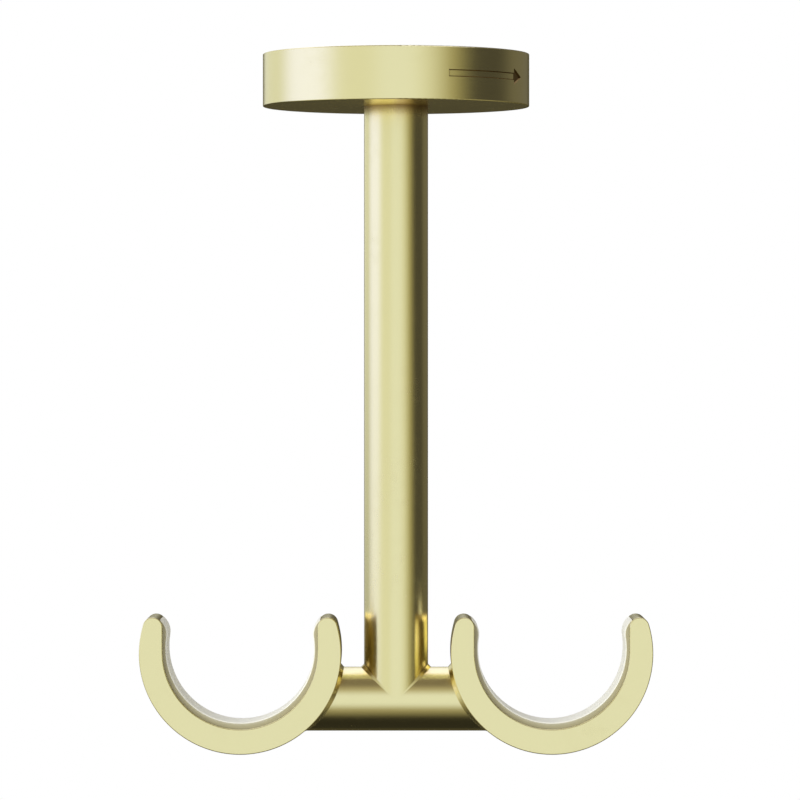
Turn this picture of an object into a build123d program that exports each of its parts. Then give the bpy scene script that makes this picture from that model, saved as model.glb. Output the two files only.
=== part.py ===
from build123d import *
import math
import os

# Double ceiling bracket for two curtain poles. A canopy cup twists on to a ring plate
# that is screwed to the ceiling. A stem tube hangs from the cup and ends in a fish
# mouth on a crossbar of the same tube, and each end of the crossbar is coped to a
# C-shaped cradle that holds a snap-in liner. The origin is the centre of the ceiling
# face, +Z is up, +X runs along the crossbar and the poles run along Y.

# Pole and liner seat
pole_d = 28.0
seat_clearance = 0.1
liner_proud = 0.72
liner_heel_extra = 0.5
liner_seat_depth = 0.6
liner_fit_gap = 0.05
liner_edge_break = 0.2
snap_angle = 9.0
liner_end_proud = 0.15
wrap_angle = 45.0
wrap_gap_angle = 2.0

# Cradles
cradle_wall = 4.48
cradle_heel_extra = 0.32
cradle_depth = 15.0
cradle_lip = 1.5
tip_rise = 6.9
cradle_reach = 29.78
cradle_rise = 9.1

# Stem and crossbar tubes, and the filler metal at their joints
tube_d = 12.3
tube_wall = 1.5
crossbar_drop = 123.9
stem_filler_height = 0.4
stem_filler_start = 1.0
cradle_filler_leg = 0.702
filler_wall_share = 0.9

# Canopy
canopy_d = 51.2
canopy_height = 10.1
canopy_wall = 2.8
canopy_floor = 2.2
tab_angle = 44.0
tab_reach = 1.6
tab_thickness = 1.4
tab_recess = 0.4
edge_soft = 0.2

# Ceiling plate
plate_thickness = 5.0
plate_side_gap = 0.3
lug_count = 3
first_lug_angle = 90.0
lug_angle = 38.0
lug_clearance = 0.25
plate_bore_d = 19.0
screw_circle_d = 30.4
screw_hole_d = 4.5
screw_head_d = 8.6
screw_cone_angle = 90

# Turning arrow engraved in the canopy's wall, with its angles round from +X
arrow_start_angle = -67.0
arrow_neck_angle = -29.0
arrow_tip_angle = -22.5
arrow_shaft_width = 1.2
arrow_head_width = 2.9
arrow_depth = 0.25
arrow_overlap_angle = 1.0

# Bolt, washers and plug that hold the stem
bolt_d = 6.0
bolt_length = 16.0
bolt_head_d = 10.5
bolt_head_height = 3.2
bolt_head_round = 1.6
socket_sides = 6
bolt_socket_width = 4.0
bolt_socket_depth = 2.0
bolt_hole_gap = 0.2
thread_gap = 0.05
braze_gap = 0.05
plug_length = 14.0
flat_washer_d = 12.0
flat_washer_thickness = 1.2
spring_washer_d = 10.6
spring_washer_thickness = 1.6
spring_washer_slot = 0.8

# Grub screw in the back of the canopy
grub_d = 3.0
grub_length = 3.0
grub_socket_width = 1.5
grub_socket_depth = 1.5

# Sizes worked out from the ones above
seat_r = pole_d / 2 + seat_clearance
lip_r = seat_r + liner_proud
groove_r = lip_r + liner_seat_depth
liner_back_r = groove_r - liner_fit_gap
cradle_r = lip_r + cradle_wall
groove_width = cradle_depth - 2 * cradle_lip
liner_width = groove_width - 2 * liner_fit_gap
liner_heel = cradle_heel_extra + liner_heel_extra
cradle_drop = crossbar_drop - cradle_rise
tube_r = tube_d / 2
tube_bore_r = tube_r - tube_wall
filler_room = filler_wall_share * (cradle_depth - tube_d) / 2
canopy_r = canopy_d / 2
cavity_r = canopy_r - canopy_wall
tab_r = cavity_r - tab_reach
lug_r = cavity_r - lug_clearance
lug_top = tab_recess + tab_thickness
grub_drop = (lug_top + plate_thickness) / 2
bolt_r = bolt_d / 2
floor_level = canopy_floor - canopy_height
washer_level = floor_level + flat_washer_thickness
head_level = washer_level + spring_washer_thickness

# The tip of an arm is a full round that touches the straight inner wall, the outer
# circle and the top of the arm, so its radius solves those three conditions together.
tip_sum = lip_r - tip_rise + cradle_r
tip_r = math.sqrt(tip_sum**2 + cradle_r**2 - lip_r**2 - tip_rise**2) - tip_sum
tip_x = lip_r + tip_r
tip_z = tip_rise - tip_r
tip_lean = math.degrees(math.atan2(tip_z, tip_x))
groove_tip_r = tip_r - liner_seat_depth
liner_tip_r = groove_tip_r + liner_fit_gap
half_turn = 180.0

os.makedirs("parts", exist_ok=True)


def finish(part, label):
    part.label = label
    export_step(part, f"parts/{label}.step")


def around_tip(radius, angle):
    return Vector(tip_x, tip_z) + Vector(radius, 0).rotate(Axis.Z, angle)


def ring_sector(inner_r, outer_r, angle):
    # A piece of a flat ring, centred on +X.
    with BuildSketch() as blank:
        with BuildLine():
            CenterArc((0, 0), outer_r, -angle / 2, angle)
            CenterArc((0, 0), inner_r, -angle / 2, angle)
            for end in (-angle / 2, angle / 2):
                Line(Vector(inner_r, 0).rotate(Axis.Z, end), Vector(outer_r, 0).rotate(Axis.Z, end))
        make_face()
    return blank.sketch


def crossbar_plane():
    # Faces along the crossbar, with its origin on the crossbar's axis.
    return Plane((0, 0, -crossbar_drop), x_dir=(0, 1, 0), z_dir=(1, 0, 0))


def cradle_plane(side):
    # Faces the front, with its origin at the centre of a cradle's outer round.
    return Plane((side * cradle_reach, 0, -cradle_drop), x_dir=(1, 0, 0), z_dir=(0, -1, 0))


# Turning arrow: a band and a point, cut to an even depth in the canopy's wall
band_end_angle = arrow_neck_angle + arrow_overlap_angle
band_middle = (arrow_start_angle + band_end_angle) / 2
band_blank = ring_sector(
    canopy_r - arrow_depth, canopy_r + arrow_depth, band_end_angle - arrow_start_angle
)
point_middle = (arrow_neck_angle + arrow_tip_angle) / 2
point_length = canopy_r * math.radians(arrow_tip_angle - arrow_neck_angle)
point_plane = Plane(
    Vector(canopy_r, 0, -canopy_height / 2).rotate(Axis.Z, point_middle),
    x_dir=Vector(0, 1).rotate(Axis.Z, point_middle),
    z_dir=Vector(1, 0).rotate(Axis.Z, point_middle),
)
with BuildPart() as arrow:
    with BuildSketch(point_plane):
        with BuildLine():
            Polyline(
                (-point_length / 2, arrow_head_width / 2),
                (-point_length / 2, -arrow_head_width / 2),
                (point_length / 2, 0),
                close=True,
            )
        make_face()
    extrude(amount=2 * arrow_depth, both=True)
    with BuildSketch(Plane.XY.offset(-canopy_height)):
        Circle(canopy_r + arrow_depth)
        Circle(canopy_r - arrow_depth, mode=Mode.SUBTRACT)
    extrude(amount=canopy_height, mode=Mode.INTERSECT)
    with BuildSketch(Plane.XY.offset(-(canopy_height + arrow_shaft_width) / 2)):
        with PolarLocations(0, 1, start_angle=band_middle):
            add(band_blank)
    extrude(amount=arrow_shaft_width)

# Canopy: a turned cup with three tabs just inside its rim
tab_blank = ring_sector(tab_r, cavity_r, tab_angle)
with BuildPart() as canopy:
    with BuildSketch(Plane.XY.offset(-canopy_height)):
        Circle(canopy_r)
    extrude(amount=canopy_height)
    fillet(canopy.edges().filter_by(GeomType.CIRCLE), edge_soft)
    with BuildSketch(Plane.XY.offset(floor_level)):
        Circle(cavity_r)
    extrude(amount=-floor_level, mode=Mode.SUBTRACT)
    with BuildSketch(Plane.XY.offset(-lug_top)):
        with PolarLocations(0, lug_count, start_angle=first_lug_angle):
            add(tab_blank)
    extrude(amount=tab_thickness)
    with Locations((0, 0, floor_level)):
        Hole(bolt_r + bolt_hole_gap, depth=canopy_floor)
    with BuildSketch(Plane.XZ.offset(-canopy_r)):
        with Locations((0, -grub_drop)):
            Circle(grub_d / 2 + thread_gap)
    extrude(amount=canopy_wall + lug_clearance, mode=Mode.SUBTRACT)
    add(arrow.part, mode=Mode.SUBTRACT)
finish(canopy.part, "canopy")

# Ceiling plate: a ring with three lugs that hang under the canopy's tabs
lug_blank = ring_sector(tab_r - 2 * plate_side_gap, lug_r, lug_angle)
with BuildPart() as ceiling_plate:
    with BuildSketch(Plane.XY.offset(-plate_thickness)):
        Circle(tab_r - plate_side_gap)
        Circle(plate_bore_d / 2, mode=Mode.SUBTRACT)
    extrude(amount=plate_thickness)
    with BuildSketch(Plane.XY.offset(-plate_thickness)):
        with PolarLocations(0, lug_count, start_angle=first_lug_angle):
            add(lug_blank)
    extrude(amount=plate_thickness - lug_top)
    with Locations(Plane((0, 0, -plate_thickness), z_dir=(0, 0, -1))):
        with PolarLocations(screw_circle_d / 2, lug_count, start_angle=first_lug_angle):
            CounterSinkHole(
                screw_hole_d / 2,
                screw_head_d / 2,
                depth=plate_thickness,
                counter_sink_angle=screw_cone_angle,
            )
finish(ceiling_plate.part, "ceiling_plate")

# Stem tube: its lower end is a fish mouth on the crossbar
with BuildPart() as stem_tube:
    with BuildSketch(Plane.XY.offset(-crossbar_drop)):
        Circle(tube_r)
        Circle(tube_bore_r, mode=Mode.SUBTRACT)
    extrude(amount=crossbar_drop - canopy_height)
    with BuildSketch(crossbar_plane()):
        Circle(tube_r)
    extrude(amount=cradle_reach, both=True, mode=Mode.SUBTRACT)
finish(stem_tube.part, "stem_tube")

# Stem plug: tapped for the bolt, brazed into the top of the stem
with BuildPart() as stem_plug:
    with BuildSketch(Plane.XY.offset(-canopy_height - plug_length)):
        Circle(tube_bore_r - braze_gap)
        Circle(bolt_r + thread_gap, mode=Mode.SUBTRACT)
    extrude(amount=plug_length)
finish(stem_plug.part, "stem_plug")

# Flat washer and split spring washer
with BuildPart() as flat_washer:
    with BuildSketch(Plane.XY.offset(floor_level)):
        Circle(flat_washer_d / 2)
        Circle(bolt_r + bolt_hole_gap, mode=Mode.SUBTRACT)
    extrude(amount=flat_washer_thickness)
finish(flat_washer.part, "flat_washer")

with BuildPart() as spring_washer:
    with BuildSketch(Plane.XY.offset(washer_level)):
        Circle(spring_washer_d / 2)
        Circle(bolt_r + bolt_hole_gap, mode=Mode.SUBTRACT)
        with Locations((spring_washer_d / 2, 0)):
            Rectangle(spring_washer_d, spring_washer_slot, mode=Mode.SUBTRACT)
    extrude(amount=spring_washer_thickness)
finish(spring_washer.part, "spring_washer")

# Stem bolt: a button head with a hexagon socket
with BuildPart() as stem_bolt:
    with BuildSketch(Plane.XY.offset(head_level)):
        Circle(bolt_head_d / 2)
    extrude(amount=bolt_head_height)
    fillet(stem_bolt.edges().sort_by(Axis.Z)[-1], bolt_head_round)
    with BuildSketch(Plane.XY.offset(head_level)):
        Circle(bolt_r)
    extrude(amount=-bolt_length)
    with BuildSketch(Plane.XY.offset(head_level + bolt_head_height)):
        RegularPolygon(bolt_socket_width / 2, socket_sides, major_radius=False)
    extrude(amount=-bolt_socket_depth, mode=Mode.SUBTRACT)
finish(stem_bolt.part, "stem_bolt")

# Grub screw: bears on the rim of a lug, through the back of the canopy's wall
with BuildPart() as canopy_grub_screw:
    with BuildSketch(Plane.XZ.offset(-lug_r)):
        with Locations((0, -grub_drop)):
            Circle(grub_d / 2)
    extrude(amount=-grub_length)
    with BuildSketch(Plane.XZ.offset(-lug_r - grub_length)):
        with Locations((0, -grub_drop)):
            RegularPolygon(grub_socket_width / 2, socket_sides, major_radius=False)
    extrude(amount=grub_socket_depth, mode=Mode.SUBTRACT)
finish(canopy_grub_screw.part, "canopy_grub_screw")

# Crossbar tube: both ends are coped to the cradles' outer rounds
with BuildPart() as crossbar_tube:
    with BuildSketch(crossbar_plane()):
        Circle(tube_r)
        Circle(tube_bore_r, mode=Mode.SUBTRACT)
    extrude(amount=cradle_reach, both=True)
    with BuildSketch(cradle_plane(-1), cradle_plane(1)):
        Circle(cradle_r)
    extrude(amount=cradle_depth / 2, both=True, mode=Mode.SUBTRACT)
finish(crossbar_tube.part, "crossbar_tube")

# Filler metal along the V seam. The seam between two equal tubes is an ellipse in the
# plane halfway between their axes. The filler is bounded by a slightly taller ellipse,
# so it stands highest at the sides and runs out to nothing at the front and back.
diagonal_scale = math.sqrt(2)
blank_size = 4 * tube_r
with BuildPart() as stem_joint_fillet:
    with BuildSketch(Plane((0, 0, -crossbar_drop), x_dir=(1, 0, 1), z_dir=(-1, 0, 1))):
        Ellipse(diagonal_scale * tube_r + stem_filler_height, tube_r)
        with Locations((diagonal_scale * stem_filler_start - blank_size / 2, 0)):
            Rectangle(blank_size, blank_size, mode=Mode.SUBTRACT)
    extrude(amount=2 * stem_filler_height, both=True)
    with BuildSketch(Plane.XY.offset(-crossbar_drop)):
        Circle(tube_r)
    extrude(amount=blank_size / 2, both=True, mode=Mode.SUBTRACT)
    with BuildSketch(crossbar_plane()):
        Circle(tube_r)
    extrude(amount=blank_size / 2, both=True, mode=Mode.SUBTRACT)
    mirror(about=Plane.YZ)
finish(stem_joint_fillet.part, "stem_joint_fillet")

for side, name in ((-1, "left"), (1, "right")):
    # Cradle: a C with full-round tips and a groove for its liner between two lips
    with BuildPart() as cradle:
        with BuildSketch(cradle_plane(side)):
            with BuildLine():
                CenterArc((0, 0), cradle_r, -90, 90 + tip_lean)
                CenterArc((tip_x, tip_z), tip_r, tip_lean, half_turn - tip_lean)
                Line((lip_r, tip_z), (lip_r, cradle_heel_extra))
                CenterArc((0, cradle_heel_extra), lip_r, -90, 90)
                mirror(about=Plane.YZ)
            make_face()
        extrude(amount=cradle_depth / 2, both=True)
        for face in cradle.faces().filter_by(Axis.Y):
            fillet(face.edges(), edge_soft)
        with BuildSketch(cradle_plane(side)):
            with BuildLine():
                groove_end = half_turn - wrap_angle - wrap_gap_angle
                CenterArc((0, cradle_heel_extra), groove_r, -90, 90)
                Line((groove_r, cradle_heel_extra), (groove_r, tip_z))
                groove_mouth = around_tip(2 * tip_r, groove_end)
                CenterArc((tip_x, tip_z), groove_tip_r, groove_end, half_turn - groove_end)
                Line(around_tip(groove_tip_r, groove_end), groove_mouth)
                Line(groove_mouth, (0, groove_mouth.Y))
                mirror(about=Plane.YZ)
            make_face()
        extrude(amount=groove_width / 2, both=True, mode=Mode.SUBTRACT)
    finish(cradle.part, f"{name}_cradle")

    # Liner: springs into the groove, and its seat runs on above the pole's centre as a snap
    with BuildPart() as liner:
        with BuildSketch(cradle_plane(side)):
            with BuildLine():
                liner_end = half_turn - wrap_angle
                end_back = around_tip(liner_tip_r, liner_end)
                end_front = around_tip(tip_r + liner_end_proud, liner_end)
                CenterArc((0, cradle_heel_extra), liner_back_r, -90, 90)
                Line((liner_back_r, cradle_heel_extra), (liner_back_r, tip_z))
                CenterArc((tip_x, tip_z), liner_tip_r, liner_end, half_turn - liner_end)
                Line(end_back, end_front)
                seat = CenterArc((0, liner_heel), seat_r, -90, 90 + snap_angle)
                TangentArc(seat @ 1, end_front, tangent=seat % 1)
                mirror(about=Plane.YZ)
            make_face()
        extrude(amount=liner_width / 2, both=True)
        for face in liner.faces().filter_by(Axis.Y):
            chamfer(face.edges(), liner_edge_break)
    finish(liner.part, f"{name}_liner")

    # Filler metal in the corner where the crossbar meets the cradle, no wider than the
    # cradle's wall beside the tube leaves room for
    with BuildPart() as joint:
        with BuildSketch(crossbar_plane()):
            Circle(tube_r)
        extrude(amount=side * cradle_reach)
        with BuildSketch(cradle_plane(side)):
            Circle(cradle_r)
        extrude(amount=cradle_depth / 2, both=True)
    seam = joint.edges().filter_by(GeomType.CIRCLE, reverse=True).filter_by(GeomType.LINE, reverse=True)
    filled_joint = chamfer(seam, min(cradle_filler_leg, filler_room))
    with BuildPart() as joint_fillet:
        add(filled_joint)
        add(joint.part, mode=Mode.SUBTRACT)
    finish(joint_fillet.part, f"{name}_joint_fillet")
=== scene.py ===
"""Looks for the ceiling curtain rod bracket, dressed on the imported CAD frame.

The bracket hangs from the ceiling face at z = 0. A satin brass canopy, stem and crossbar
carry two C-shaped cradles, and each cradle holds a clear liner that grips a curtain pole.
"""

from __future__ import annotations

import logging
import math
from dataclasses import dataclass, field
from enum import Enum

import bmesh
import bpy
from mathutils import Matrix, Vector

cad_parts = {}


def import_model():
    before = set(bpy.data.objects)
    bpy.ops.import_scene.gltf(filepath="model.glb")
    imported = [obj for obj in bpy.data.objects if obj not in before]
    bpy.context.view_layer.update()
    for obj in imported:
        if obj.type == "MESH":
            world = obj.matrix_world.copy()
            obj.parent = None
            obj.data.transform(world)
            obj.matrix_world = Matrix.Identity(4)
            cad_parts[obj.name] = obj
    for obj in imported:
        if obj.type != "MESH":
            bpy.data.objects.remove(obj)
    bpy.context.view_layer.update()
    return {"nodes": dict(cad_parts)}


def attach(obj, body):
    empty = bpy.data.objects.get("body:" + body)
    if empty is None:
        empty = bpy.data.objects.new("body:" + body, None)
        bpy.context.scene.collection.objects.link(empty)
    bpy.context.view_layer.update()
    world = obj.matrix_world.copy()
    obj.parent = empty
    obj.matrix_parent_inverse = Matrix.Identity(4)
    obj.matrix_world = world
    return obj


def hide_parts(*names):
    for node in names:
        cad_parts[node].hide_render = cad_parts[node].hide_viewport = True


log = logging.getLogger("bracket")

Colour = tuple[float, float, float]
Fade = tuple[float, float]
Socket = bpy.types.NodeSocket

MM = 0.001


# Small node helpers


def grey(level: float) -> Colour:
    """A neutral colour of one level."""
    return (level, level, level)


def dimmed(colour: Colour, share: float) -> Colour:
    """A share of a colour."""
    return tuple(channel * share for channel in colour)


def opaque(colour: Colour) -> tuple[float, float, float, float]:
    """The colour with a full alpha."""
    return (*colour, 1.0)


@dataclass
class NodeBench:
    """Adds and wires nodes in one tree.

    Attributes:
        tree: The node tree that is being built.
    """

    tree: bpy.types.NodeTree

    def add(self, kind: str, **settings: object) -> bpy.types.Node:
        """Adds a node.

        Args:
            kind: The node's type name.
            settings: Attributes set on the node.

        Returns:
            The new node.
        """
        node = self.tree.nodes.new(kind)
        for name, value in settings.items():
            setattr(node, name, value)
        return node

    def feed(self, socket: Socket, value: object) -> None:
        """Links a socket to an output, or sets its default value.

        Args:
            socket: The input to feed.
            value: An output socket, or a plain value.
        """
        if isinstance(value, Socket):
            self.tree.links.new(value, socket)
        else:
            socket.default_value = value

    def fill(self, kind: str, inputs: dict[str, object], **settings: object) -> bpy.types.Node:
        """Adds a node and feeds its inputs by name.

        Args:
            kind: The node's type name.
            inputs: An output or a plain value for each named input.
            settings: Attributes set on the node.

        Returns:
            The new node.
        """
        node = self.add(kind, **settings)
        for name, value in inputs.items():
            self.feed(node.inputs[name], value)
        return node

    def wire(self, kind: str, *values: object, **settings: object) -> bpy.types.NodeOutputs:
        """Adds a node and feeds its inputs in order.

        Args:
            kind: The node's type name.
            values: An output or a plain value for each input.
            settings: Attributes set on the node.

        Returns:
            The node's outputs.
        """
        node = self.add(kind, **settings)
        for socket, value in zip(node.inputs, values):
            self.feed(socket, value)
        return node.outputs

    def math(self, operation: str, *values: Socket | float, clamp: bool = False) -> Socket:
        """The result of a Math node, which clamp keeps between 0 and 1."""
        return self.wire("ShaderNodeMath", *values, operation=operation, use_clamp=clamp)[0]

    def plus(self, first: Socket | float, second: Socket | float) -> Socket:
        """The sum of two values."""
        return self.math("ADD", first, second)

    def minus(self, first: Socket | float, second: Socket | float) -> Socket:
        """The first value less the second."""
        return self.math("SUBTRACT", first, second)

    def over(self, first: Socket | float, second: Socket | float) -> Socket:
        """The first value divided by the second."""
        return self.math("DIVIDE", first, second)

    def times(self, first: Socket | float, *others: Socket | float) -> Socket:
        """The product of all the values.

        Args:
            first: The first value.
            others: The values it is multiplied by, in order.

        Returns:
            The product.
        """
        product = first
        for other in others:
            product = self.math("MULTIPLY", product, other)
        return product

    def above(self, value: Socket, limit: Socket | float) -> Socket:
        """1 where the value is above the limit, and 0 elsewhere."""
        return self.math("GREATER_THAN", value, limit)

    def below(self, value: Socket, limit: Socket | float) -> Socket:
        """1 where the value is below the limit, and 0 elsewhere."""
        return self.math("LESS_THAN", value, limit)

    def near(self, value: Socket, middle: float, reach: float) -> Socket:
        """1 where the value is within reach of the middle, and 0 elsewhere."""
        return self.math("COMPARE", value, middle, reach)

    def hypotenuse(self, first: Socket, second: Socket) -> Socket:
        """The root of the sum of two squares."""
        return self.math("SQRT", self.plus(self.times(first, first), self.times(second, second)))

    def split(self, vector: Socket) -> tuple[Socket, Socket, Socket]:
        """The x, y and z of a vector."""
        return tuple(self.wire("ShaderNodeSeparateXYZ", vector))

    def join(self, *parts: Socket) -> Socket:
        """The vector with this x, y and z."""
        return self.wire("ShaderNodeCombineXYZ", *parts)[0]

    def noise(self, place: Socket, **settings: Socket | float) -> Socket:
        """The noise at a place, from 0 to 1."""
        return self.fill("ShaderNodeTexNoise", {"Vector": place, **settings}).outputs[0]

    def step(self, value: Socket, fade: Fade) -> Socket:
        """A smooth step from 0 to 1.

        Args:
            value: The output that is read.
            fade: Where the step begins and where it ends, which may be lower.

        Returns:
            The stepped value.
        """
        start, end = fade
        limits = (start, end, 0.0, 1.0) if start < end else (end, start, 1.0, 0.0)
        inputs = dict(zip(("From Min", "From Max", "To Min", "To Max"), limits), Value=value)
        node = self.fill("ShaderNodeMapRange", inputs, interpolation_type="SMOOTHSTEP")
        return node.outputs["Result"]

    def mix(
        self,
        factor: Socket | float,
        first: Socket | Colour,
        second: Socket | Colour,
        blend: str = "MIX",
    ) -> Socket:
        """A colour Mix node.

        Args:
            factor: How much of the second colour.
            first: A colour or an output.
            second: A colour or an output.
            blend: The blend type.

        Returns:
            The mixed colour.
        """
        node = self.add("ShaderNodeMix", data_type="RGBA", blend_type=blend)
        self.feed(node.inputs["Factor"], factor)
        for name, value in (("A", first), ("B", second)):
            socket = next(s for s in node.inputs if s.name == name and s.type == "RGBA")
            self.feed(socket, opaque(value) if isinstance(value, tuple) else value)
        return next(s for s in node.outputs if s.type == "RGBA")


# Shared surface effects


class Effect(Enum):
    """The shader node groups that more than one finish uses."""

    GRAIN = "fine polishing grain"
    HANDLING = "handling marks"
    # Painted shade in corners, read from ambient occlusion.
    CORNER_SHADE = "painted shade in corners"


@dataclass
class SurfaceEffects:
    """Builds each shared effect once and places it in materials.

    Lengths are in metres, and a noise's scale is in waves per metre.

    Attributes:
        grain_contrast: The noise levels where a scratch starts and is full.
        arc_radius: The radius at which marks round the stem are measured.
        bump_height: How high the grain stands at full depth.
        patch_contrast: The noise levels where a wide patch starts and is full.
        speckle_contrast: The same for the fine speckle inside the patches.
        speckle_fineness: How much finer the speckle is than the patches.
        made: The groups built so far.
    """

    grain_contrast: Fade = (0.3, 0.7)
    arc_radius: float = 20.0 * MM
    bump_height: float = 0.02 * MM
    patch_contrast: Fade = (0.4, 0.68)
    speckle_contrast: Fade = (0.35, 0.7)
    speckle_fineness: float = 6.5
    made: dict[Effect, bpy.types.NodeTree] = field(default_factory=dict)

    def place(self, bench: NodeBench, effect: Effect, **values: object) -> bpy.types.Node:
        """Puts a group node in a material.

        Args:
            bench: The material's node bench.
            effect: Which effect.
            values: Its inputs, by name.

        Returns:
            The group node.
        """
        if effect not in self.made:
            builders = {
                Effect.GRAIN: self.grain,
                Effect.HANDLING: self.handling,
                Effect.CORNER_SHADE: self.corner_shade,
            }
            self.made[effect] = builders[effect]()
        return bench.fill("ShaderNodeGroup", values, node_tree=self.made[effect])

    def new_group(
        self, effect: Effect, inputs: dict[str, float], outputs: dict[str, str]
    ) -> tuple[NodeBench, bpy.types.Node, bpy.types.Node]:
        """Starts a group with named inputs and outputs.

        Args:
            effect: The effect that names it.
            inputs: Each float input and its default.
            outputs: Each output and its socket type.

        Returns:
            The group's bench, and its input and output nodes.
        """
        tree = bpy.data.node_groups.new(effect.value, "ShaderNodeTree")
        face = tree.interface
        for name, default in inputs.items():
            socket = face.new_socket(name, in_out="INPUT", socket_type="NodeSocketFloat")
            socket.default_value = default
        for name, kind in outputs.items():
            face.new_socket(name, in_out="OUTPUT", socket_type=kind)
        bench = NodeBench(tree)
        return bench, bench.add("NodeGroupInput"), bench.add("NodeGroupOutput")

    def grain(self) -> bpy.types.NodeTree:
        """Fine scratches left by polishing, along the stem's axis or round it.

        Returns:
            The group, which puts out a mask and a normal.
        """
        bench, source, sink = self.new_group(
            Effect.GRAIN,
            {"Across": 9000.0, "Along": 500.0, "Depth": 0.1, "Turned": 0.0},
            {"Mask": "NodeSocketFloat", "Normal": "NodeSocketVector"},
        )
        across = source.outputs["Across"]
        along = source.outputs["Along"]
        x, y, z = bench.split(bench.add("ShaderNodeTexCoord").outputs["Object"])
        arc = bench.times(bench.math("ARCTAN2", x, y), self.arc_radius)
        radius = bench.times(bench.hypotenuse(x, y), across)
        straight = bench.join(bench.times(x, across), bench.times(y, across), bench.times(z, along))
        turned = bench.join(radius, bench.times(arc, along), bench.times(z, across))
        choose = bench.add("ShaderNodeMix", data_type="VECTOR")
        bench.feed(choose.inputs["Factor"], source.outputs["Turned"])
        choices = [s for s in choose.inputs if s.type == "VECTOR" and s.name != "Factor"]
        for socket, vector in zip(choices, (straight, turned)):
            bench.feed(socket, vector)
        chosen = next(s for s in choose.outputs if s.type == "VECTOR")
        noise = bench.noise(chosen, Scale=1.0, Detail=3.0, Roughness=0.55)
        mask = bench.step(noise, self.grain_contrast)
        depth = source.outputs["Depth"]
        inputs = {"Distance": self.bump_height, "Strength": depth, "Height": mask}
        bump = bench.fill("ShaderNodeBump", inputs)
        bench.feed(sink.inputs["Mask"], mask)
        bench.feed(sink.inputs["Normal"], bump.outputs[0])
        return bench.tree

    def handling(self) -> bpy.types.NodeTree:
        """Soft patches where fingers and a cloth have dulled the polish.

        Returns:
            The group, which puts out one mask.
        """
        bench, source, sink = self.new_group(
            Effect.HANDLING, {"Scale": 90.0, "Amount": 1.0}, {"Mask": "NodeSocketFloat"}
        )
        place = bench.add("ShaderNodeTexCoord").outputs["Object"]
        scale = source.outputs["Scale"]
        fine_scale = bench.times(scale, self.speckle_fineness)
        wide = bench.noise(place, Scale=scale, Detail=2.0)
        fine = bench.noise(place, Scale=fine_scale, Detail=4.0)
        speckle = bench.step(fine, self.speckle_contrast)
        both = bench.times(bench.step(wide, self.patch_contrast), speckle)
        mask = bench.math("MULTIPLY", both, source.outputs["Amount"], clamp=True)
        bench.feed(sink.inputs["Mask"], mask)
        return bench.tree

    def corner_shade(self) -> bpy.types.NodeTree:
        """Painted shade where two surfaces meet closely, read from ambient occlusion.

        Returns:
            The group, which puts out one mask.
        """
        bench, source, sink = self.new_group(
            Effect.CORNER_SHADE,
            {"Reach": 1.2 * MM, "Amount": 1.0, "Open": 0.85, "Shut": 0.25},
            {"Mask": "NodeSocketFloat"},
        )
        given = source.outputs
        reach = {"Distance": given["Reach"]}
        # Painted shade: ambient occlusion finds the closed-in places that get darkened.
        closeness = bench.fill("ShaderNodeAmbientOcclusion", reach, samples=8).outputs["AO"]
        inputs = {"Value": closeness, "From Min": given["Open"], "From Max": given["Shut"]}
        shut = bench.fill("ShaderNodeMapRange", inputs, interpolation_type="SMOOTHSTEP")
        mask = bench.math("MULTIPLY", shut.outputs["Result"], given["Amount"], clamp=True)
        bench.feed(sink.inputs["Mask"], mask)
        return bench.tree


# Finishes


class GrainRun(Enum):
    """Which way the polishing marks run on a piece."""

    ALONG_STEM = 0.0
    ROUND_STEM = 1.0


@dataclass(frozen=True)
class CornerShade:
    """How the painted shade of corners and close places spreads.

    Attributes:
        reach: How far it spreads, in metres.
        open: How open a place has to be to stay free of the painted shade.
        shut: How shut a place has to be to be fully shaded.
        amount: How strong it is where it is full.
    """

    reach: float = 1.1 * MM
    open: float = 0.85
    shut: float = 0.25
    amount: float = 0.85

    def mask(self, bench: NodeBench, effects: SurfaceEffects) -> Socket:
        """Places the effect.

        Args:
            bench: The material's node bench.
            effects: The shared effects.

        Returns:
            Its mask.
        """
        spread = {"Reach": self.reach, "Open": self.open, "Shut": self.shut}
        node = effects.place(bench, Effect.CORNER_SHADE, Amount=self.amount, **spread)
        return node.outputs["Mask"]


@dataclass
class FinishParts:
    """A material that is being built.

    Attributes:
        material: The material.
        bench: Its node bench.
        shader: Its main shader.
        marks: The handled patches' mask.
        corner: The mask of the painted shade in corners.
        rough: Its roughness so far.
    """

    material: bpy.types.Material
    bench: NodeBench
    shader: bpy.types.Node
    marks: Socket
    corner: Socket
    rough: Socket


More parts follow.
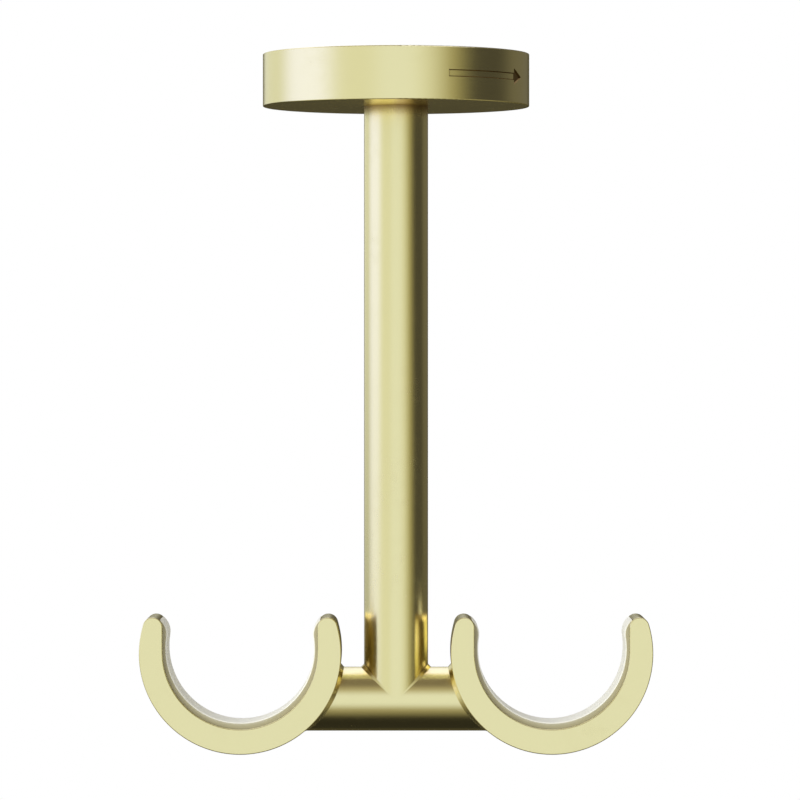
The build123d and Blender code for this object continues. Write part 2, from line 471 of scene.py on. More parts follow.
@dataclass(frozen=True)
class Finish:
    """What every finish has.

    Attributes:
        colour: The material's own colour, linear.
        tint: The colour of the painted shade in corners and close places, linear.
        roughness: How wide the sheen is.
        dulled: How much rougher the handled patches are.
        patch_scale: How fine the handled patches are.
        corner: How the painted corner shade spreads.
    """

    colour: Colour
    tint: Colour
    roughness: float
    dulled: float
    patch_scale: float
    corner: CornerShade

    def start(self, name: str, effects: SurfaceEffects) -> FinishParts:
        """Starts the material with what every finish has.

        Args:
            name: The material's name.
            effects: The shared effects.

        Returns:
            Its parts.
        """
        material = bpy.data.materials.new(name)
        material.use_nodes = True
        bench = NodeBench(material.node_tree)
        marks = effects.place(bench, Effect.HANDLING, Scale=self.patch_scale).outputs["Mask"]
        return FinishParts(
            material=material,
            bench=bench,
            shader=material.node_tree.nodes["Principled BSDF"],
            marks=marks,
            corner=self.corner.mask(bench, effects),
            rough=bench.math("MULTIPLY_ADD", marks, self.dulled, self.roughness),
        )

    def end(self, parts: FinishParts, clean: Socket, **settings: object) -> bpy.types.Material:
        """Paints shade in the corners and feeds the shader.

        Args:
            parts: The material's parts.
            clean: The colour without the corners' tint.
            settings: The shader's other inputs, by name with underscores for spaces.

        Returns:
            The finished material.
        """
        # Painted shade: the tint is mixed into the colour where the corner mask is set.
        settings["Base_Color"] = parts.bench.mix(parts.corner, clean, self.tint)
        settings["Roughness"] = parts.rough
        for name, value in settings.items():
            parts.bench.feed(parts.shader.inputs[name.replace("_", " ")], value)
        return parts.material


@dataclass(frozen=True)
class SatinBrass(Finish):
    """Pale satin brass.

    Attributes:
        grain_depth: Strength of the polishing marks.
        grain_shade: How bright the metal is between the marks.
        grain_dulled: How much rougher the marks are.
        corner_dulled: How much rougher the metal is under the painted corner shade.
    """

    colour: Colour = (0.90, 0.83, 0.41)
    # The brown of the painted corner shade.
    tint: Colour = (0.30, 0.19, 0.06)
    roughness: float = 0.22
    dulled: float = 0.05
    patch_scale: float = 85.0
    corner: CornerShade = CornerShade()
    grain_depth: float = 0.10
    grain_shade: float = 0.985
    grain_dulled: float = 0.02
    corner_dulled: float = 0.15

    def build(self, name: str, effects: SurfaceEffects, run: GrainRun) -> bpy.types.Material:
        """Makes the material.

        Args:
            name: The material's name.
            effects: The shared effects.
            run: Which way the polishing marks run.

        Returns:
            The material.
        """
        parts = self.start(name, effects)
        bench = parts.bench
        sizes = {"Depth": self.grain_depth, "Turned": run.value}
        grain = effects.place(bench, Effect.GRAIN, **sizes).outputs
        scratched = grain["Mask"]
        clean = bench.mix(scratched, dimmed(self.colour, self.grain_shade), self.colour)
        for mask, dulled in ((scratched, self.grain_dulled), (parts.corner, self.corner_dulled)):
            parts.rough = bench.math("MULTIPLY_ADD", mask, dulled, parts.rough)
        white = opaque(grey(1.0))
        return self.end(parts, clean, Normal=grain["Normal"], Metallic=1.0, Specular_Tint=white)


@dataclass(frozen=True)
class ZincPlate(Finish):
    """Bright zinc on the steel fixing hardware, with painted shade in its corners.

    Attributes:
        stain: The yellower passivation in patches, linear.
        grain_depth: Strength of the turning marks.
        grain_across: How fine the turning marks are.
    """

    colour: Colour = (0.61, 0.60, 0.50)
    # The grey of the painted corner shade.
    tint: Colour = grey(0.12)
    roughness: float = 0.32
    dulled: float = 0.12
    patch_scale: float = 140.0
    corner: CornerShade = CornerShade(reach=1.0 * MM, amount=0.7)
    stain: Colour = (0.56, 0.54, 0.42)
    grain_depth: float = 0.35
    grain_across: float = 5000.0

    def build(self, name: str, effects: SurfaceEffects) -> bpy.types.Material:
        """Makes the material.

        Args:
            name: The material's name.
            effects: The shared effects.

        Returns:
            The material.
        """
        parts = self.start(name, effects)
        turned = GrainRun.ROUND_STEM.value
        sizes = {"Depth": self.grain_depth, "Turned": turned, "Across": self.grain_across}
        grain = effects.place(parts.bench, Effect.GRAIN, **sizes)
        plated = parts.bench.mix(parts.marks, self.colour, self.stain)
        return self.end(parts, plated, Normal=grain.outputs["Normal"], Metallic=1.0)


@dataclass(frozen=True)
class ClearLiner(Finish):
    """Frosted clear plastic, moulded, with painted olive shade and painted brass reflection near
    the groove.

    Attributes:
        patch_shade: How bright the handled patches are.
        clear: How much light it lets through.
        index: The plastic's refractive index.
        shine: The strength of its surface reflection.
    """

    colour: Colour = (0.97, 0.96, 0.85)
    # The olive of the painted shade and painted brass reflection near the groove.
    tint: Colour = (0.42, 0.38, 0.18)
    roughness: float = 0.5
    dulled: float = 0.1
    patch_scale: float = 160.0
    corner: CornerShade = CornerShade(reach=3.4 * MM, open=0.99, shut=0.72, amount=0.82)
    patch_shade: float = 0.95
    clear: float = 0.15
    index: float = 1.47
    shine: float = 0.3

    def build(self, name: str, effects: SurfaceEffects) -> bpy.types.Material:
        """Makes the material.

        Args:
            name: The material's name.
            effects: The shared effects.

        Returns:
            The material.
        """
        parts = self.start(name, effects)
        body = parts.bench.mix(parts.marks, self.colour, dimmed(self.colour, self.patch_shade))
        glass = {"Transmission_Weight": self.clear, "IOR": self.index}
        return self.end(parts, body, Specular_IOR_Level=self.shine, **glass)


@dataclass
class Finishes:
    """Every finish of the bracket, built once.

    Attributes:
        effects: The shared surface effects.
        turned_brass: Brass with marks round the stem's axis.
        drawn_brass: Brass with marks along the stem's axis.
        tube_brass: The same on the stem, with painted shade reaching further out from its joints.
        engraved: Brass inside the engraved arrow's edges.
        zinc: The hidden hardware.
        liner: The liners' plastic.
    """

    effects: SurfaceEffects = field(default_factory=SurfaceEffects)
    turned_brass: bpy.types.Material = field(init=False)
    drawn_brass: bpy.types.Material = field(init=False)
    tube_brass: bpy.types.Material = field(init=False)
    engraved: bpy.types.Material = field(init=False)
    zinc: bpy.types.Material = field(init=False)
    liner: bpy.types.Material = field(init=False)

    def __post_init__(self) -> None:
        """Builds the materials."""
        plain = SatinBrass()
        # Wider painted shade for the stem: it darkens the stem's top under the canopy and its foot
        # at the crossbar.
        wide = CornerShade(reach=3.0 * MM, open=0.92, shut=0.52)
        tube = SatinBrass(tint=(0.24, 0.15, 0.045), corner=wide)
        # The arrow's darker brass; its tint is its painted corner shade.
        cut = SatinBrass(colour=(0.27, 0.18, 0.055), tint=(0.14, 0.08, 0.03), roughness=0.38)
        along = GrainRun.ALONG_STEM
        around = GrainRun.ROUND_STEM
        self.turned_brass = plain.build("satin_brass_turned", self.effects, around)
        self.drawn_brass = plain.build("satin_brass_drawn", self.effects, along)
        self.tube_brass = tube.build("satin_brass_tube", self.effects, along)
        self.engraved = cut.build("satin_brass_engraved", self.effects, around)
        self.zinc = ZincPlate().build("zinc_plate", self.effects)
        self.liner = ClearLiner().build("clear_liner", self.effects)


# Sub-assemblies


@dataclass
class Dressing:
    """Gives carried-over CAD nodes their finishes.

    Attributes:
        nodes: The frame's CAD objects by node name.
    """

    nodes: dict[str, bpy.types.Object]

    def finish(self, material: bpy.types.Material, *names: str) -> None:
        """Puts one material on several CAD nodes.

        Args:
            material: The finish.
            names: The nodes.
        """
        for name in names:
            self.nodes[name].data.materials.clear()
            self.nodes[name].data.materials.append(material)
            log.info("%s: %s", name, material.name)


@dataclass(frozen=True)
class TurningArrow:
    """The engraved arrow, as a tree that gives its edges a draft.

    Lengths are in metres, and angles in degrees round from +X.

    Attributes:
        wall_radius: Radius of the canopy's wall.
        depth: How deep the arrow is cut.
        draft: How far its sides lean inwards on their way down.
        widening: How much wider its edges are worn at the surface.
        start_angle: Where the shaft starts.
        neck_angle: Where the head starts.
        tip_angle: Where the head ends.
        shaft_width: Width of the shaft.
        head_width: Width of the head.
        middle: Height of the arrow's middle line.
        weld: Points this near each other become one.
        angle_slack: How far from an angle a point still counts as on it.
        head_reach: The half height that holds the head, as a share of its width.
        shaft_reach: The half height that holds the shaft, as a share of its width.
        floor_from: The sunk depth from which a point counts as on the floor.
        cut_reach: How far from half depth a point may be and still be in the cut.
        side_reach: How far from half depth a face's middle is on the sloping sides.
    """

    wall_radius: float = 25.6 * MM
    depth: float = 0.25 * MM
    draft: float = 0.17 * MM
    widening: float = 0.08 * MM
    start_angle: float = -67.0
    neck_angle: float = -29.0
    tip_angle: float = -22.5
    shaft_width: float = 1.2 * MM
    head_width: float = 2.9 * MM
    middle: float = -5.05 * MM
    weld: float = 0.001 * MM
    angle_slack: float = 0.5
    head_reach: float = 0.52
    shaft_reach: float = 0.6
    floor_from: float = 0.8
    cut_reach: float = 0.6
    side_reach: float = 0.3

    def tree(self) -> bpy.types.NodeTree:
        """Builds the Geometry Nodes tree.

        Returns:
            The tree, with this arrow's sizes as its named inputs.
        """
        tree = bpy.data.node_groups.new("drafted arrow", "GeometryNodeTree")
        face = tree.interface
        face.new_socket("Geometry", in_out="INPUT", socket_type="NodeSocketGeometry")
        sizes = {
            "Wall Radius": self.wall_radius,
            "Depth": self.depth,
            "Draft": self.draft,
            "Widening": self.widening,
            "Start Angle": self.start_angle,
            "Neck Angle": self.neck_angle,
            "Tip Angle": self.tip_angle,
            "Shaft Width": self.shaft_width,
            "Head Width": self.head_width,
            "Middle": self.middle,
        }
        for name, value in sizes.items():
            socket = face.new_socket(name, in_out="INPUT", socket_type="NodeSocketFloat")
            socket.default_value = value
        for name in ("Wall Finish", "Side Finish"):
            face.new_socket(name, in_out="INPUT", socket_type="NodeSocketMaterial")
        face.new_socket("Geometry", in_out="OUTPUT", socket_type="NodeSocketGeometry")
        ArrowNodes(self, NodeBench(tree)).build()
        return tree


@dataclass
class ArrowNodes:
    """The nodes that lean the arrow's sides. Its masks are 1 or 0 at each point.

    Attributes:
        arrow: The arrow.
        bench: The tree's bench.
        source: The tree's inputs.
        radius: Each point's distance from the stem's axis.
        angle: Its degrees round from +X.
        rise: Its height above the arrow's middle line.
        height: The same without its sign.
        sunk: Its depth under the wall, from 0 at the wall to 1 at the cut's floor.
        at_floor: On the arrow's floor.
        in_cut: Anywhere on the arrow, at the wall or at its floor.
        on_head: On the head or its base.
    """

    arrow: TurningArrow
    bench: NodeBench
    source: bpy.types.NodeOutputs = field(init=False)
    radius: Socket = field(init=False)
    angle: Socket = field(init=False)
    rise: Socket = field(init=False)
    height: Socket = field(init=False)
    sunk: Socket = field(init=False)
    at_floor: Socket = field(init=False)
    in_cut: Socket = field(init=False)
    on_head: Socket = field(init=False)

    def __post_init__(self) -> None:
        """Measures each point against the arrow."""
        bench = self.bench
        source = bench.add("NodeGroupInput").outputs
        x, y, z = bench.split(bench.add("GeometryNodeInputPosition").outputs[0])
        self.source = source
        self.radius = bench.hypotenuse(x, y)
        self.angle = bench.math("DEGREES", bench.math("ARCTAN2", y, x))
        self.rise = bench.minus(z, source["Middle"])
        self.height = bench.math("ABSOLUTE", self.rise)
        self.sunk = bench.over(bench.minus(source["Wall Radius"], self.radius), source["Depth"])
        self.at_floor = bench.above(self.sunk, self.arrow.floor_from)
        self.in_cut = bench.times(
            self.past("Start Angle"),
            self.before("Tip Angle"),
            bench.below(self.height, bench.times(source["Head Width"], self.arrow.head_reach)),
            bench.near(self.sunk, 0.5, self.arrow.cut_reach),
        )
        self.on_head = self.past("Neck Angle")

    def past(self, name: str) -> Socket:
        """1 where a point lies at or past the angle of this name."""
        limit = self.bench.minus(self.source[name], self.arrow.angle_slack)
        return self.bench.above(self.angle, limit)

    def before(self, name: str) -> Socket:
        """1 where a point lies at or before the angle of this name."""
        limit = self.bench.plus(self.source[name], self.arrow.angle_slack)
        return self.bench.below(self.angle, limit)

    def build(self) -> None:
        """Welds the canopy, leans the arrow's sides and sets the two finishes."""
        bench = self.bench
        source = self.source
        sloping = bench.near(self.sunk, 0.5, self.arrow.side_reach)
        head_floor = bench.times(self.at_floor, self.on_head)
        dulled = bench.times(self.in_cut, bench.math("MAXIMUM", sloping, head_floor))
        shape = source["Geometry"]
        for kind, inputs in (
            ("MergeByDistance", {"Distance": self.arrow.weld}),
            ("SetPosition", {"Selection": self.in_cut, "Position": self.new_place()}),
            ("RealizeInstances", {}),
            ("SetMaterial", {"Material": source["Wall Finish"]}),
            ("SetMaterial", {"Selection": dulled, "Material": source["Side Finish"]}),
        ):
            node = bench.fill(f"GeometryNode{kind}", {"Geometry": shape, **inputs})
            shape = node.outputs["Geometry"]
        bench.fill("NodeGroupOutput", {"Geometry": shape})

    def new_place(self) -> Socket:
        """Moves the outline in at the floor and out at the wall.

        Returns:
            Each point's new position.
        """
        bench = self.bench
        source = self.source
        inset = bench.minus(bench.times(self.at_floor, source["Draft"]), source["Widening"])
        turn = bench.math("DEGREES", bench.over(inset, source["Wall Radius"]))
        shrink = self.head_shrink(inset)
        narrow_height = bench.times(source["Shaft Width"], self.arrow.shaft_reach)
        narrow = bench.below(self.height, narrow_height)
        at_neck = bench.times(self.on_head, self.before("Neck Angle"))
        past_neck = bench.minus(self.on_head, at_neck)
        on_shaft = bench.times(narrow, bench.minus(1.0, past_neck))
        shaft_height = bench.minus(bench.times(source["Shaft Width"], 0.5), inset)
        head_height = bench.times(self.height, shrink)
        gain = bench.times(on_shaft, bench.minus(shaft_height, head_height))
        new_rise = bench.times(bench.math("SIGN", self.rise), bench.plus(head_height, gain))
        from_neck = bench.minus(self.angle, source["Neck Angle"])
        head_turn = bench.plus(turn, bench.times(from_neck, bench.minus(shrink, 1.0)))
        start_turn = bench.times(self.before("Start Angle"), turn)
        move = bench.plus(bench.times(self.on_head, head_turn), start_turn)
        angle = bench.math("RADIANS", bench.plus(self.angle, move))
        return bench.join(
            bench.times(self.radius, bench.math("COSINE", angle)),
            bench.times(self.radius, bench.math("SINE", angle)),
            bench.plus(source["Middle"], new_rise),
        )

    def head_shrink(self, inset: Socket) -> Socket:
        """Works out how much smaller the head is once its sides have moved in.

        Args:
            inset: How far they have moved in.

        Returns:
            The head's size as a share of its full size.
        """
        bench = self.bench
        spread = bench.minus(self.source["Tip Angle"], self.source["Neck Angle"])
        length = bench.times(bench.math("RADIANS", spread), self.source["Wall Radius"])
        half_width = bench.times(self.source["Head Width"], 0.5)
        flank = bench.hypotenuse(length, half_width)
        stretch = bench.plus(bench.over(flank, half_width), 1.0)
        return bench.minus(1.0, bench.over(bench.times(stretch, inset), length))


@dataclass
class Canopy(Dressing):
    """The canopy cup with its turning arrow, and the grub screw in its back.

    Attributes:
        arrow: The arrow engraved in its wall.
    """

    arrow: TurningArrow = TurningArrow()

    def dress(self, finishes: Finishes) -> None:
        """Dresses the canopy.

        Args:
            finishes: The bracket's finishes.
        """
        cup = self.engrave(finishes)
        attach(cup, "root")
        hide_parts("canopy")
        self.finish(finishes.turned_brass, "canopy")
        self.finish(finishes.zinc, "canopy_grub_screw")

    def engrave(self, finishes: Finishes) -> bpy.types.Object:
        """Copies the canopy and leans the arrow's sides.

        Args:
            finishes: The bracket's finishes.

        Returns:
            The canopy with its finished arrow.
        """
        mesh = self.nodes["canopy"].data.copy()
        normals = [tuple(corner.vector) for corner in mesh.corner_normals]
        draft = bpy.data.objects.new("canopy_draft", mesh)
        bpy.context.collection.objects.link(draft)
        modifier = draft.modifiers.new("arrow", "NODES")
        modifier.node_group = self.arrow.tree()
        materials = {"Wall Finish": finishes.turned_brass, "Side Finish": finishes.engraved}
        for item in modifier.node_group.interface.items_tree:
            if item.name in materials:
                modifier[item.identifier] = materials[item.name]
            elif item.socket_type == "NodeSocketFloat":
                modifier[item.identifier] = item.default_value
        graph = bpy.context.evaluated_depsgraph_get()
        engraved = bpy.data.meshes.new_from_object(draft.evaluated_get(graph))
        bpy.data.objects.remove(draft)
        cup = bpy.data.objects.new("engraved_canopy", engraved)
        bpy.context.collection.objects.link(cup)
        side_slot = engraved.materials.find(finishes.engraved.name)
        sides = [p for p in engraved.polygons if p.material_index == side_slot]
        for polygon in sides:
            for corner in polygon.loop_indices:
                normals[corner] = tuple(polygon.normal)
        engraved.normals_split_custom_set(normals)
        log.info(
            "engraved_canopy: %d faces, %d of them the arrow's sides",
            len(engraved.polygons),
            len(sides),
        )
        return cup


@dataclass
class CeilingFixing(Dressing):
    """The ceiling plate, and the bolt, washers and plug that hold the stem."""

    def dress(self, finishes: Finishes) -> None:
        """Dresses the hidden hardware.

        Args:
            finishes: The bracket's finishes.
        """
        self.finish(
            finishes.zinc,
            "ceiling_plate",
            "stem_bolt",
            "flat_washer",
            "spring_washer",
            "stem_plug",
        )


@dataclass
class StemAndCrossbar(Dressing):
    """The stem and crossbar tubes, and the filler metal at all three joints."""

    def dress(self, finishes: Finishes) -> None:
        """Dresses the tubes.

        Args:
            finishes: The bracket's finishes.
        """
        self.finish(finishes.tube_brass, "stem_tube")
        self.finish(
            finishes.drawn_brass,
            "crossbar_tube",
            "stem_joint_fillet",
            "left_joint_fillet",
            "right_joint_fillet",
        )


@dataclass
class PoleCradle(Dressing):
    """One cradle and its liner.

    Attributes:
        side: Which of the two it is, left or right.
    """

    side: str = "left"

    def dress(self, finishes: Finishes) -> None:
        """Dresses the cradle and its liner.

        Args:
            finishes: The bracket's finishes.
        """
        self.finish(finishes.drawn_brass, f"{self.side}_cradle")
        self.finish(finishes.liner, f"{self.side}_liner")


# The room and the studio


@dataclass
class Way:
    """The direction in which a ray leaves the bracket.

    Attributes:
        bench: The world's bench.
        azimuth: Degrees round from the camera's side, growing towards +X.
        elevation: Degrees up from the horizon.
        rear: The direction's y, from -1 in front to 1 behind.
    """

    bench: NodeBench
    azimuth: Socket = field(init=False)
    elevation: Socket = field(init=False)
    rear: Socket = field(init=False)

    def __post_init__(self) -> None:
        """Reads the direction."""
        bench = self.bench
        x, y, z = bench.split(bench.add("ShaderNodeTexCoord").outputs["Generated"])
        degrees = 180.0 / math.pi
        front = bench.times(y, -1.0)
        self.azimuth = bench.times(bench.math("ARCTAN2", x, front), degrees)
        self.elevation = bench.times(bench.math("ARCSINE", z), degrees)
        self.rear = y

    def round(self, fade: Fade) -> Socket:
        """A step over the azimuth."""
        return self.bench.step(self.azimuth, fade)

    def up(self, fade: Fade) -> Socket:
        """A step over the elevation."""
        return self.bench.step(self.elevation, fade)

    def back(self, fade: Fade) -> Socket:
        """A step over the direction's y."""
        return self.bench.step(self.rear, fade)


@dataclass(frozen=True)
class RoomLight:
    """The room that the metal reflects, as soft bands of light all round the bracket.

    Colours are linear. A fade is where a band begins and where it is full. One whose name
    ends in round is an azimuth, one in up or down an elevation, and one in back a y.

    Attributes:
        wall: Light of the white walls in front and on the left.
        glow, glow_left_round, glow_right_round: The front wall's brighter middle, and its sides.
        strip, strip_rear_round, strip_front_round, strip_up: The cooler strip light on the
            left, its rear and front sides and its lower end.
        wall_end, wall_end_round: The warm end of the front wall, on the right.
        shade, shade_round: The unlit right side of the room.
        far_shade, far_shade_round: The right side further back.
        right_rear_round: Where the right side stops, straight behind.
        ceiling_edge, ceiling_edge_up: The ceiling near the wall, where some light falls.
        ceiling_shade, ceiling_shade_up: The unlit ceiling over the bracket.
        back_light, back_light_back, back_light_up: The cool light behind and above.
        gap_round, gap_up: The gap in that light on the right, and the height where it stops.
        floor_edge, floor_edge_down: The floor near the front wall, where some light falls.
        floor_shade, floor_shade_down: The unlit floor, and where it takes over in front.
        behind_shade, behind_shade_down: The unlit wall behind, under the horizon.
        rear_floor_down: Where the unlit floor takes over behind.
        floor_back: Where what is in front gives way to what is behind.
        straight_back, straight_down: The unlit wall straight behind, under the back light.
        second_left, second_right, second_round: The tints of the left and right side's light
            after a second reflection, and where the one gives way to the other.
        third: Tint of all light after a third reflection.
        lit_floor_back, lit_floor_down: The floor that shines after a second reflection.
        after_second, after_third: The Ray Depth, which is one more than the number of
            reflections, that tells a second and a third reflection from those before.
        soft, soft_level: How even the light is on what isn't metal, and its level.
    """

    wall: Colour = (0.81, 0.83, 0.87)
    glow: Colour = (0.86, 0.90, 1.06)
    glow_left_round: Fade = (-26.0, -8.0)
    glow_right_round: Fade = (26.0, 12.0)
    strip: Colour = (1.08, 1.13, 1.90)
    strip_rear_round: Fade = (-124.0, -96.0)
    strip_front_round: Fade = (-44.0, -72.0)
    strip_up: Fade = (-6.0, 1.0)
    wall_end: Colour = (0.42, 0.38, 0.22)
    wall_end_round: Fade = (20.0, 54.0)
    shade: Colour = (0.068, 0.062, 0.056)
    shade_round: Fade = (42.0, 74.0)
    far_shade: Colour = (0.165, 0.15, 0.125)
    far_shade_round: Fade = (98.0, 124.0)
    right_rear_round: Fade = (179.0, 168.0)
    ceiling_edge: Colour = (0.48, 0.43, 0.33)
    ceiling_edge_up: Fade = (12.0, 38.0)
    ceiling_shade: Colour = (0.21, 0.175, 0.14)
    ceiling_shade_up: Fade = (32.0, 56.0)
    back_light: Colour = (1.26, 1.27, 1.72)
    back_light_back: Fade = (-0.17, 0.14)
    back_light_up: Fade = (24.0, 38.0)
    gap_round: Fade = (60.0, 85.0)
    gap_up: Fade = (58.0, 44.0)
    floor_edge: Colour = (0.40, 0.36, 0.24)
    floor_edge_down: Fade = (-12.0, -42.0)
    floor_shade: Colour = (0.026, 0.024, 0.019)
    floor_shade_down: Fade = (-29.0, -77.0)
    behind_shade: Colour = (0.075, 0.066, 0.038)
    behind_shade_down: Fade = (4.0, -12.0)
    rear_floor_down: Fade = (-30.0, -58.0)
    floor_back: Fade = (-0.1, 0.5)
    straight_back: Fade = (0.91, 0.955)
    straight_down: Fade = (15.0, 5.0)
    second_left: Colour = (1.4, 1.24, 0.85)
    second_right: Colour = (1.0, 0.82, 0.7)
    second_round: Fade = (-12.0, 8.0)
    third: Colour = (0.27, 0.20, 0.13)
    lit_floor_back: Fade = (-0.22, -0.06)
    lit_floor_down: Fade = (-58.0, -66.0)
    after_second: float = 2.5
    after_third: float = 3.5
    soft: float = 0.6
    soft_level: float = 0.92

    def build(self) -> None:
        """Makes the world, which is plain white for the camera."""
        world = bpy.data.worlds.new("studio")
        bpy.context.scene.world = world
        world.use_nodes = True
        world.node_tree.nodes.clear()
        bench = NodeBench(world.node_tree)
        path = bench.add("ShaderNodeLightPath").outputs
        way = Way(bench)
        room = self.floors(way, self.ceiling(way, self.walls(way)))
        room = self.reflected_again(way, room, path["Ray Depth"])
        plain = bench.wire("ShaderNodeRGBToBW", room)[0]
        soft = bench.mix(self.soft, plain, grey(self.soft_level))
        shown = bench.mix(path["Is Diffuse Ray"], room, soft)
        for ray in ("Is Camera Ray", "Is Transmission Ray"):
            shown = bench.mix(path[ray], shown, grey(1.0))
        background = bench.fill("ShaderNodeBackground", {"Color": shown, "Strength": 1.0})
        bench.fill("ShaderNodeOutputWorld", {"Surface": background.outputs[0]})

    def walls(self, way: Way) -> Socket:
        """The walls at the height of the horizon.

        Args:
            way: The ray's direction.

        Returns:
            Their colour.
        """
        bench = way.bench
        middle = bench.times(way.round(self.glow_left_round), way.round(self.glow_right_round))
        ring = bench.mix(middle, self.wall, self.glow)
        sides = bench.times(way.round(self.strip_rear_round), way.round(self.strip_front_round))
        ring = bench.mix(bench.times(sides, way.up(self.strip_up)), ring, self.strip)
        right = way.round(self.right_rear_round)
        for fade, colour in (
            (self.wall_end_round, self.wall_end),
            (self.shade_round, self.shade),
            (self.far_shade_round, self.far_shade),
        ):
            ring = bench.mix(bench.times(right, way.round(fade)), ring, colour)
        return ring

    def ceiling(self, way: Way, ring: Socket) -> Socket:
        """Lays the ceiling and the light behind and above over the walls.

        Args:
            way: The ray's direction.
            ring: The walls' colour.

        Returns:
            The colour with them.
        """
        bench = way.bench
        right = way.round(self.right_rear_round)
        lit = bench.minus(1.0, bench.times(right, way.round(self.shade_round)))
        edge = bench.times(lit, way.up(self.ceiling_edge_up))
        room = bench.mix(edge, ring, self.ceiling_edge)
        room = bench.mix(way.up(self.ceiling_shade_up), room, self.ceiling_shade)
        gap = bench.times(right, way.round(self.gap_round), way.up(self.gap_up))
        light = bench.times(way.back(self.back_light_back), way.up(self.back_light_up))
        return bench.mix(bench.times(light, bench.minus(1.0, gap)), room, self.back_light)

    def floors(self, way: Way, room: Socket) -> Socket:
        """Lays the floor in front and behind, and the dark wall straight behind, over the rest.

        Args:
            way: The ray's direction.
            room: The colour so far.

        Returns:
            The whole room's colour.
        """
        mix = way.bench.mix
        front = mix(way.up(self.floor_edge_down), room, self.floor_edge)
        front = mix(way.up(self.floor_shade_down), front, self.floor_shade)
        rear = mix(way.up(self.behind_shade_down), room, self.behind_shade)
        rear = mix(way.up(self.rear_floor_down), rear, self.floor_shade)
        whole = mix(way.back(self.floor_back), front, rear)
        straight = way.bench.times(way.back(self.straight_back), way.up(self.straight_down))
        return mix(straight, whole, self.behind_shade)

    def reflected_again(self, way: Way, room: Socket, depth: Socket) -> Socket:
        """Tints what is seen after a second and a third reflection.

        Args:
            way: The ray's direction.
            room: The room's colour.
            depth: The path's Ray Depth.

        Returns:
            The tinted colour.
        """
        bench = way.bench
        tint = bench.mix(way.round(self.second_round), self.second_left, self.second_right)
        tint = bench.mix(bench.above(depth, self.after_third), tint, self.third)
        between = bench.mix(1.0, room, tint, blend="MULTIPLY")
        lit_floor = bench.times(way.up(self.lit_floor_down), way.back(self.lit_floor_back))
        lit_floor = bench.times(lit_floor, bench.below(depth, self.after_third))
        between = bench.mix(lit_floor, between, self.back_light)
        return bench.mix(bench.above(depth, self.after_second), room, between)


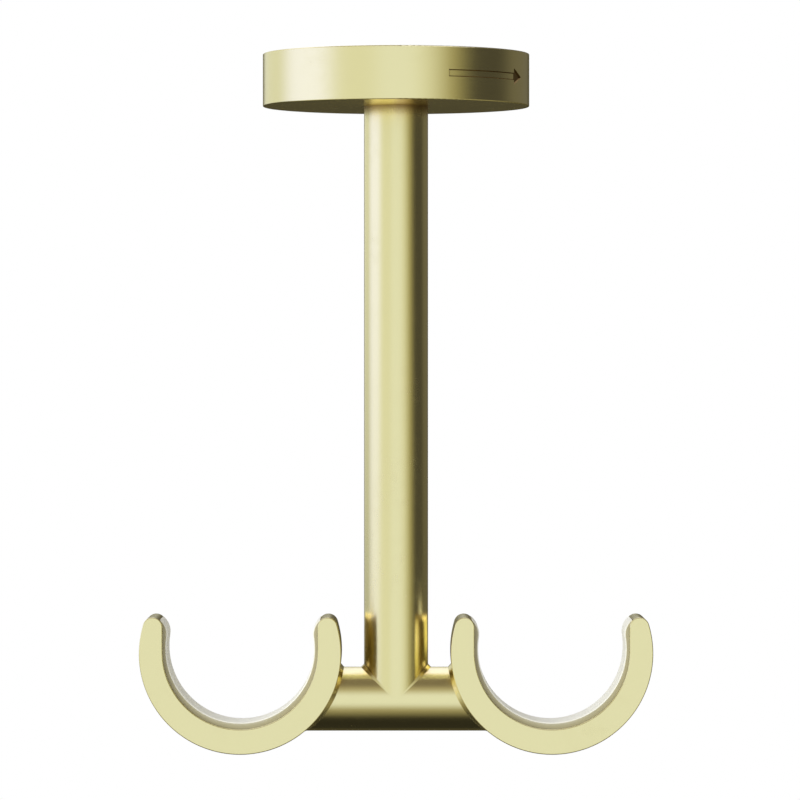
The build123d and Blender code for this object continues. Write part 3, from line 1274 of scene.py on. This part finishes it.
@dataclass(frozen=True)
class Studio:
    """The floor, the lamp and the camera. Lengths are in metres.

    Attributes:
        floor_level, floor_radius, floor_sides: The floor's height, radius and corners.
        floor_tone: How bright the floor is where it lights the bracket.
        lamp_place, lamp_aim: Where the lamp hangs, and the point it faces.
        lamp_width, lamp_height, lamp_power: Its size, and its power in watts.
        camera_place: Where the camera stands.
        focal_pixels: The lens's focal length in pixels of the frame.
        frame_pixels: The frame's width and height in pixels.
        horizon_pixel: The row of the frame that is level with the camera.
        axis_pixel: The column of the frame that the stem's axis is on.
        sensor_width: The camera's sensor in millimetres.
        clip: The nearest and furthest distance that the camera sees.
    """

    floor_level: float = -0.9
    floor_radius: float = 2.5
    floor_sides: int = 96
    floor_tone: float = 0.8
    lamp_place: tuple[float, float, float] = (-1.0, -1.05, 0.3)
    lamp_aim: tuple[float, float, float] = (0.0, 0.0, -0.08)
    lamp_width: float = 1.4
    lamp_height: float = 1.2
    lamp_power: float = 14.0
    camera_place: tuple[float, float, float] = (0.0, -0.8808, -0.06068)
    focal_pixels: float = 4580.0
    frame_pixels: float = 800.0
    horizon_pixel: float = 370.0
    axis_pixel: float = 396.05
    sensor_width: float = 36.0
    clip: tuple[float, float] = (0.05, 20.0)

    def build(self) -> None:
        """Makes the floor, the lamp and the camera."""
        self.lay_floor()
        self.hang_lamp()
        self.place_camera()

    def lay_floor(self) -> None:
        """A wide floor, white for the camera, pale for soft light and unseen by the metal."""
        mesh = bpy.data.meshes.new("studio_floor")
        build = bmesh.new()
        bmesh.ops.create_circle(
            build, cap_ends=True, segments=self.floor_sides, radius=self.floor_radius
        )
        build.to_mesh(mesh)
        build.free()
        mesh.transform(Matrix.Translation((0.0, 0.0, self.floor_level)))
        floor = bpy.data.objects.new("studio_floor", mesh)
        bpy.context.collection.objects.link(floor)
        mesh.materials.append(self.floor_material())

    def floor_material(self) -> bpy.types.Material:
        """Makes the floor's material.

        Returns:
            The material.
        """
        material = bpy.data.materials.new("studio_floor")
        material.use_nodes = True
        material.node_tree.nodes.clear()
        bench = NodeBench(material.node_tree)
        path = bench.add("ShaderNodeLightPath").outputs
        pale = bench.wire("ShaderNodeBsdfDiffuse", opaque(grey(self.floor_tone)))[0]
        white = bench.wire("ShaderNodeEmission", opaque(grey(1.0)))[0]
        unseen = bench.wire("ShaderNodeBsdfTransparent")[0]
        seen = bench.wire("ShaderNodeMixShader", path["Is Camera Ray"], pale, white)[0]
        shown = bench.wire("ShaderNodeMixShader", path["Is Glossy Ray"], seen, unseen)[0]
        bench.fill("ShaderNodeOutputMaterial", {"Surface": shown})
        return material

    def hang_lamp(self) -> None:
        """A large soft lamp in front and to the left, which only lights what isn't metal."""
        data = bpy.data.lights.new("soft_front", "AREA")
        data.shape = "RECTANGLE"
        data.size = self.lamp_width
        data.size_y = self.lamp_height
        data.energy = self.lamp_power
        lamp = bpy.data.objects.new("soft_front", data)
        lamp.location = self.lamp_place
        facing = Vector(self.lamp_aim) - Vector(self.lamp_place)
        lamp.rotation_euler = facing.to_track_quat("-Z", "Y").to_euler()
        lamp.visible_glossy = False
        bpy.context.collection.objects.link(lamp)

    def place_camera(self) -> None:
        """A long lens level with the stem's middle, turned a little to frame the photo."""
        data = bpy.data.cameras.new("camera")
        data.sensor_width = self.sensor_width
        data.lens = self.focal_pixels / self.frame_pixels * self.sensor_width
        data.clip_start, data.clip_end = self.clip
        camera = bpy.data.objects.new("camera", data)
        camera.location = self.camera_place
        middle = self.frame_pixels / 2
        pitch = math.atan((middle - self.horizon_pixel) / self.focal_pixels)
        swing = math.atan((middle - self.axis_pixel) / self.focal_pixels)
        camera.rotation_euler = (math.pi / 2 - pitch, 0.0, -swing)
        bpy.context.collection.objects.link(camera)
        bpy.context.scene.camera = camera
        bpy.context.scene.view_settings.view_transform = "Standard"


# The whole bracket


def main() -> None:
    """Loads the frame and dresses each sub-assembly in order."""
    logging.basicConfig(level=logging.INFO, format="%(name)s: %(message)s")
    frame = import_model()
    nodes = frame["nodes"]
    finishes = Finishes()
    Canopy(nodes).dress(finishes)
    CeilingFixing(nodes).dress(finishes)
    StemAndCrossbar(nodes).dress(finishes)
    PoleCradle(nodes, "left").dress(finishes)
    PoleCradle(nodes, "right").dress(finishes)
    RoomLight().build()
    Studio().build()


if __name__ == "__main__":
    main()
